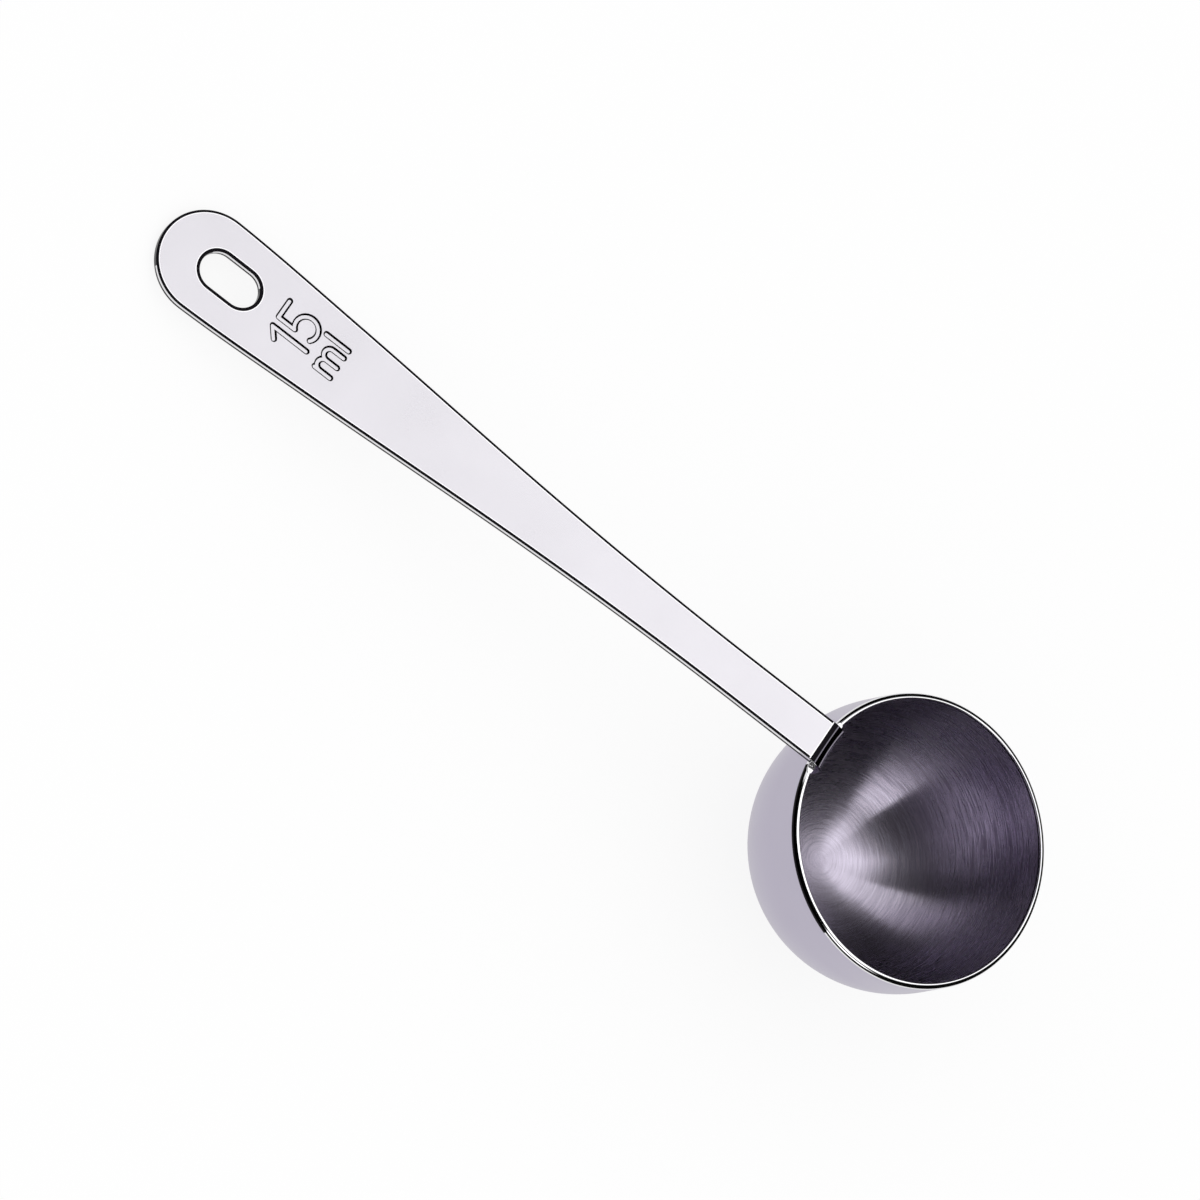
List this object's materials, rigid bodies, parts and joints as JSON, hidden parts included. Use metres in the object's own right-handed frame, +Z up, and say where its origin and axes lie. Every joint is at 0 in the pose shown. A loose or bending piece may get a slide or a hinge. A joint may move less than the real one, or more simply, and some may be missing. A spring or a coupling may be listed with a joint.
{
  "type": "measuring spoon",
  "caption": "Stainless steel measuring spoon: round deep bowl, long flat strap handle with a hanging slot and a stamped capacity mark.",
  "frame": {"origin": "middle of the overall length and width, on the surface that the spoon stands on", "axes": "+Z up, square to the rim; the handle points to -X and the bowl is at +X; Y is across the handle"},
  "size_m": [0.1318, 0.0354, 0.0242],
  "materials": {
    "bowl_steel": "satin outside, turned brush lines inside, polished rim",
    "handle_steel": "satin faces, polished edges",
    "weld_steel": "ground and polished"
  },
  "bodies": {
    "root": {"bowl": "bowl_steel", "handle": "handle_steel", "seam_welds": "weld_steel", "spot_welds": "weld_steel"}
  },
  "joints": []
}
